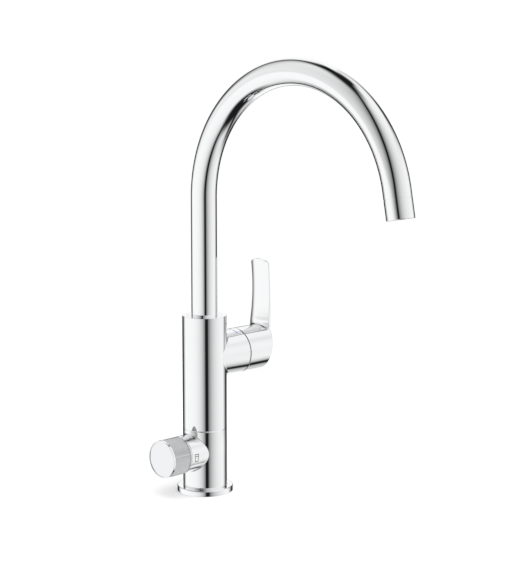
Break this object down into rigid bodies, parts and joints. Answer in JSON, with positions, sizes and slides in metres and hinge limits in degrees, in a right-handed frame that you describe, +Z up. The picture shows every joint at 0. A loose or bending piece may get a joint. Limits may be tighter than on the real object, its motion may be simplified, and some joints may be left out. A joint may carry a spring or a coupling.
{
  "type": "water filter kitchen tap",
  "caption": "Single-hole kitchen tap with a swivelling C spout, side mixing lever and a knurled knob at the foot for filtered water through its own inner hose.",
  "frame": {"origin": "centre of the base flange's underside, on the worktop", "axes": "+Z up; the spout points to -Y at rest, the lever's housing to +X and the filter knob to -X"},
  "size_m": [0.1207, 0.2509, 0.4317],
  "materials": {
    "chrome": "polished chrome plate",
    "knurl": "satin chrome, finely fluted",
    "knob_face": "pale polished disc",
    "brass": "machined brass",
    "steel": "zinc-plated steel",
    "stainless": "stainless steel",
    "copper": "drawn copper tube",
    "rubber": "matt black rubber",
    "plastic_white": "moulded acetal",
    "plastic_grey": "moulded nylon",
    "plastic_black": "moulded nylon",
    "ceramic": "lapped alumina ceramic",
    "hose": "flexible polyethylene tube",
    "enamel_blue": "blue enamel",
    "enamel_red": "orange-red enamel"
  },
  "bodies": {
    "tap_body": {"base_flange": "chrome", "base_gasket": "rubber", "lower_body": "chrome", "upper_body": "chrome", "body_o_ring": "rubber", "body_grub_screw": "stainless", "hot_pipe": "copper", "cold_pipe": "copper", "filter_riser": "copper", "pipe_o_rings": "rubber", "gland_ring": "chrome", "upper_bush": "plastic_white", "lower_bush": "plastic_white", "swivel_stop_screw": "stainless", "cartridge_housing": "plastic_grey", "cartridge_base": "plastic_white", "cartridge_seals": "rubber", "fixed_disc": "ceramic", "cartridge_nut": "brass", "dome_ring": "chrome", "valve_body": "brass", "valve_seat_seal": "rubber", "valve_fixed_disc": "ceramic", "neck_ring": "chrome", "fixing_stud": "steel", "horseshoe_rubber": "rubber", "horseshoe_plate": "steel", "fixing_nut": "brass", "hot_mark": "enamel_red", "cold_mark": "enamel_blue"},
    "spout": {"spout_tube": "chrome", "spout_foot": "brass", "spout_o_ring": "rubber", "filter_hose": "hose", "hose_coupling": "plastic_white", "aerator_housing": "chrome", "aerator_insert": "plastic_grey", "aerator_mesh": "stainless", "filter_nozzle": "plastic_white", "aerator_seal": "rubber"},
    "rotor": {"cartridge_rotor": "plastic_white", "pivot_pin": "stainless"},
    "disc_slide": {"disc_carrier": "plastic_grey", "moving_disc": "ceramic"},
    "lever": {"lever": "chrome", "spindle": "stainless", "lever_grub_screw": "stainless", "lever_plug": "chrome"},
    "filter_knob": {"knob_shell": "knurl", "knob_cap": "knob_face", "knob_adapter": "plastic_black", "knob_screw": "stainless", "valve_spindle": "brass", "valve_turning_disc": "ceramic", "valve_o_rings": "rubber"}
  },
  "joints": [
    {"name": "spout_swivel", "type": "hinge", "parent": "tap_body", "child": "spout", "pos_m": [0, 0, 0.143], "axis": [0, 0, 1], "range_deg": [-75, 75]},
    {"name": "lever_turn", "type": "hinge", "parent": "tap_body", "child": "rotor", "pos_m": [0.025, 0, 0.1169], "axis": [1, 0, 0], "range_deg": [-45, 45]},
    {"name": "lever_lift", "type": "hinge", "parent": "rotor", "child": "lever", "pos_m": [0.025, 0, 0.1169], "axis": [0, 1, 0], "range_deg": [0, 25]},
    {"name": "disc_slide_travel", "type": "slide", "parent": "rotor", "child": "disc_slide", "axis": [0, 0, 1], "range_m": [0, 0.0028]},
    {"name": "filter_knob_turn", "type": "hinge", "parent": "tap_body", "child": "filter_knob", "pos_m": [-0.04, 0, 0.0358], "axis": [-1, 0, 0], "range_deg": [0, 90]}
  ],
  "couplings": [
    {"joint": "disc_slide_travel", "follows": "lever_lift", "m_per_rad": 0.0062957}
  ]
}
